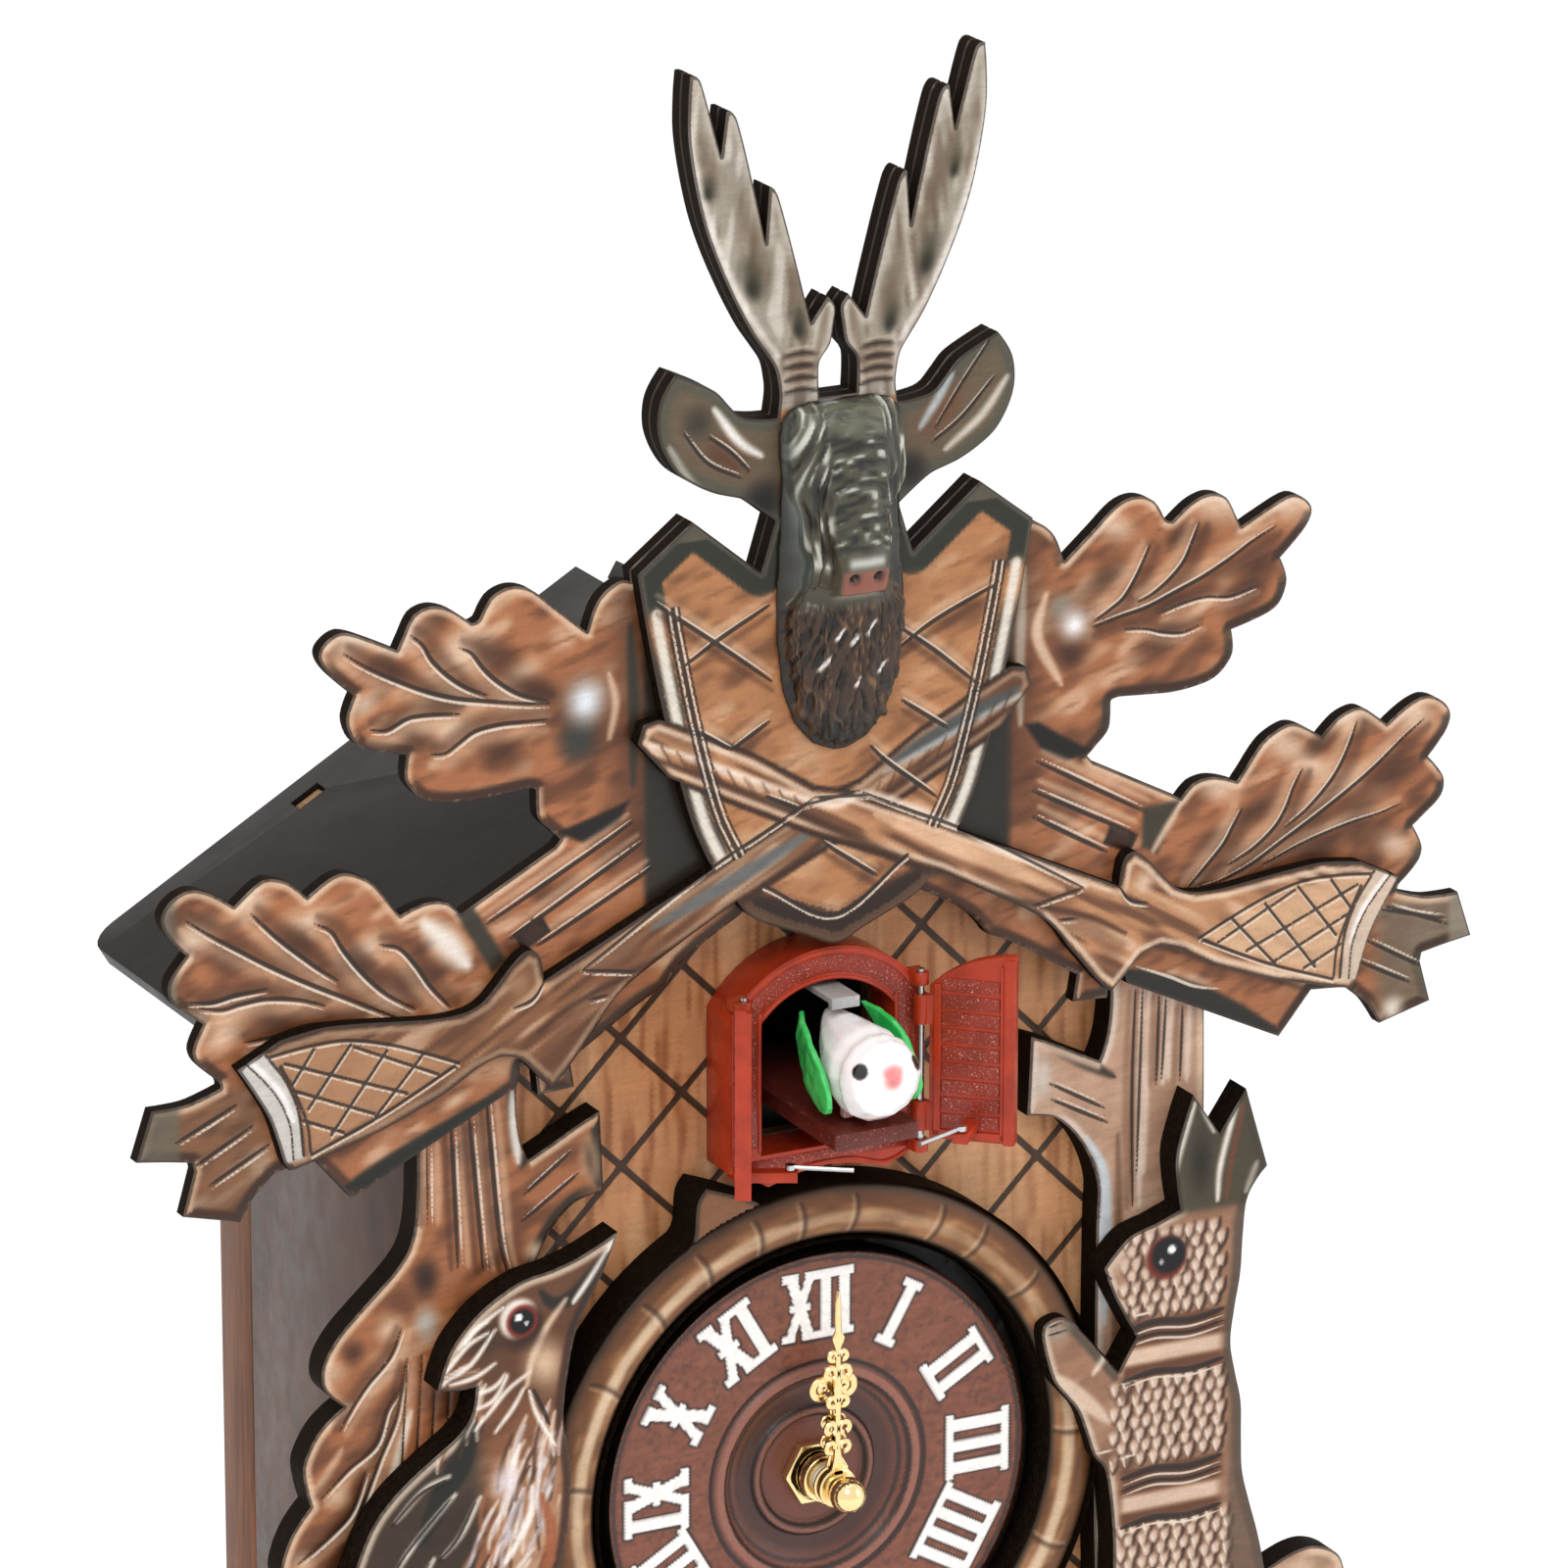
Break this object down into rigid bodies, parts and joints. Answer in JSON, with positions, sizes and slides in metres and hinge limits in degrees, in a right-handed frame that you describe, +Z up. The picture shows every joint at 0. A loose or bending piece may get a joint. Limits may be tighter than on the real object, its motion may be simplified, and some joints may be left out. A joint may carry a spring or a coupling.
{
  "type": "cuckoo clock",
  "caption": "Gabled wall cuckoo clock with layered printed fretwork, quartz hands, a swinging leaf pendulum and a bird that slides out between two hinged doors.",
  "frame": {"origin": "centre of the nail the clock hangs on, on the wall plane behind the clock", "axes": "+X to the viewer's right, +Y into the wall, +Z up"},
  "size_m": [0.292, 0.1306, 0.4639],
  "materials": {
    "carved_board": "laser-cut fibreboard with a printed and airbrushed brown carving, satin",
    "crest": "the same printed board, lighter, satin",
    "panel": "light tan wood print with a dark diamond lattice, satin",
    "case": "grey-brown lacquered fibreboard, satin",
    "stile": "mid-brown stained wood, satin",
    "roof": "dark brown-black lacquer, satin",
    "back": "bare fibreboard, matt",
    "stag": "moulded dark grey-green to brown, glossy",
    "dial": "mottled copper-brown with white numerals",
    "brass": "polished pale brass",
    "steel": "bright zinc-plated steel",
    "door_plastic": "glossy orange-red brown",
    "platform_plastic": "glossy dark red-brown",
    "bird_white": "glossy white",
    "bird_green": "glossy green",
    "grey_plastic": "pale grey moulding",
    "black_plastic": "black moulding",
    "white_plastic": "white acetal",
    "circuit": "green circuit board",
    "copper": "lacquered copper wire",
    "cell": "plain grey cell sleeve"
  },
  "bodies": {
    "case": {"gable_board": "carved_board", "trunk_left": "carved_board", "trunk_right": "carved_board", "clinging_bird": "carved_board", "squirrel": "carved_board", "dial_ring": "carved_board", "bottom_carving": "carved_board", "carving_backer": "carved_board", "crest_board": "crest", "front_panel": "panel", "side_left": "case", "side_right": "case", "bottom_board": "case", "rear_stile_left": "stile", "rear_stile_right": "stile", "roof_left": "roof", "roof_right": "roof", "back_panel": "back", "hanger_batten": "back", "foot_batten": "back", "stag_head": "stag", "dial": "dial", "dial_nut": "brass", "centre_bush": "brass", "hanger_plate": "steel", "access_hinge": "steel", "door_pin_left": "steel", "door_pin_right": "steel", "bird_motor": "steel", "bird_frame": "door_plastic", "movement_case": "black_plastic", "movement_cover": "black_plastic", "battery_tray": "black_plastic", "bird_housing": "black_plastic", "pendulum_bracket": "black_plastic", "speaker": "black_plastic", "control_board": "circuit", "drive_coil": "copper", "battery_front": "cell", "battery_rear": "cell"},
    "access_leaf": {"access_door": "back"},
    "minute_arbor": {"minute_shaft": "steel", "minute_hand": "brass", "hand_nut": "brass"},
    "motion_work": {"motion_wheel": "white_plastic", "set_knob": "grey_plastic"},
    "hour_pipe": {"hour_wheel": "white_plastic", "hour_hand": "brass"},
    "slider": {"bird_platform": "platform_plastic", "tail_lever": "grey_plastic"},
    "bird": {"bird_body": "bird_white"},
    "left_wing": {"wing_left": "bird_green"},
    "right_wing": {"wing_right": "bird_green"},
    "left_door": {"door_left": "door_plastic"},
    "right_door": {"door_right": "door_plastic"},
    "left_link": {"door_link_left": "steel"},
    "right_link": {"door_link_right": "steel"},
    "pendulum": {"pendulum_rod": "brass", "pendulum_bob": "carved_board"}
  },
  "joints": [
    {"name": "access_hinge_turn", "type": "hinge", "parent": "case", "child": "access_leaf", "pos_m": [-0.0462, -0.0046, -0.112], "axis": [0, 0, 1], "range_deg": [0, 110]},
    {"name": "minute_turn", "type": "hinge", "parent": "case", "child": "minute_arbor", "pos_m": [0, -0.098, -0.122], "axis": [0, 1, 0], "continuous": true},
    {"name": "motion_turn", "type": "hinge", "parent": "case", "child": "motion_work", "pos_m": [0, -0.078, -0.1345], "axis": [0, 1, 0], "continuous": true},
    {"name": "hour_turn", "type": "hinge", "parent": "case", "child": "hour_pipe", "pos_m": [0, -0.098, -0.122], "axis": [0, 1, 0], "continuous": true},
    {"name": "bird_slide", "type": "slide", "parent": "case", "child": "slider", "axis": [0, 1, 0], "range_m": [0, 0.0395]},
    {"name": "bird_bow", "type": "hinge", "parent": "slider", "child": "bird", "pos_m": [0, -0.115, -0.04], "axis": [1, 0, 0], "range_deg": [0, 5]},
    {"name": "left_wing_flap", "type": "hinge", "parent": "bird", "child": "left_wing", "pos_m": [-0.0092, -0.117, -0.034], "axis": [1, 0, 0], "range_deg": [0, 10]},
    {"name": "right_wing_flap", "type": "hinge", "parent": "bird", "child": "right_wing", "pos_m": [0.0092, -0.117, -0.034], "axis": [1, 0, 0], "range_deg": [0, 10]},
    {"name": "left_door_swing", "type": "hinge", "parent": "case", "child": "left_door", "pos_m": [-0.0194, -0.1034, -0.037], "axis": [0, 0, 1], "range_deg": [0, 117]},
    {"name": "right_door_swing", "type": "hinge", "parent": "case", "child": "right_door", "pos_m": [0.0194, -0.1034, -0.037], "axis": [0, 0, 1], "range_deg": [-138, 0]},
    {"name": "left_link_turn", "type": "hinge", "parent": "left_door", "child": "left_link", "pos_m": [-0.01615, -0.11684, -0.0486], "axis": [0, 0, 1], "range_deg": [0, 12]},
    {"name": "right_link_turn", "type": "hinge", "parent": "right_door", "child": "right_link", "pos_m": [0.02118, -0.11711, -0.0467], "axis": [0, 0, 1], "range_deg": [0, 25]},
    {"name": "pendulum_swing", "type": "hinge", "parent": "case", "child": "pendulum", "pos_m": [0, -0.082, -0.156], "axis": [0, 1, 0], "range_deg": [-7, 7]}
  ],
  "couplings": [
    {"joint": "motion_turn", "follows": "minute_turn", "ratio": -0.33333},
    {"joint": "hour_turn", "follows": "minute_turn", "ratio": 0.083333},
    {"joint": "left_wing_flap", "follows": "bird_bow", "ratio": 2},
    {"joint": "right_wing_flap", "follows": "bird_bow", "ratio": 2},
    {"joint": "left_door_swing", "follows": "bird_slide", "rad_per_m": 51.697},
    {"joint": "right_door_swing", "follows": "bird_slide", "rad_per_m": -60.976},
    {"joint": "left_link_turn", "follows": "bird_slide", "rad_per_m": 5.126},
    {"joint": "right_link_turn", "follows": "bird_slide", "rad_per_m": 10.605}
  ]
}
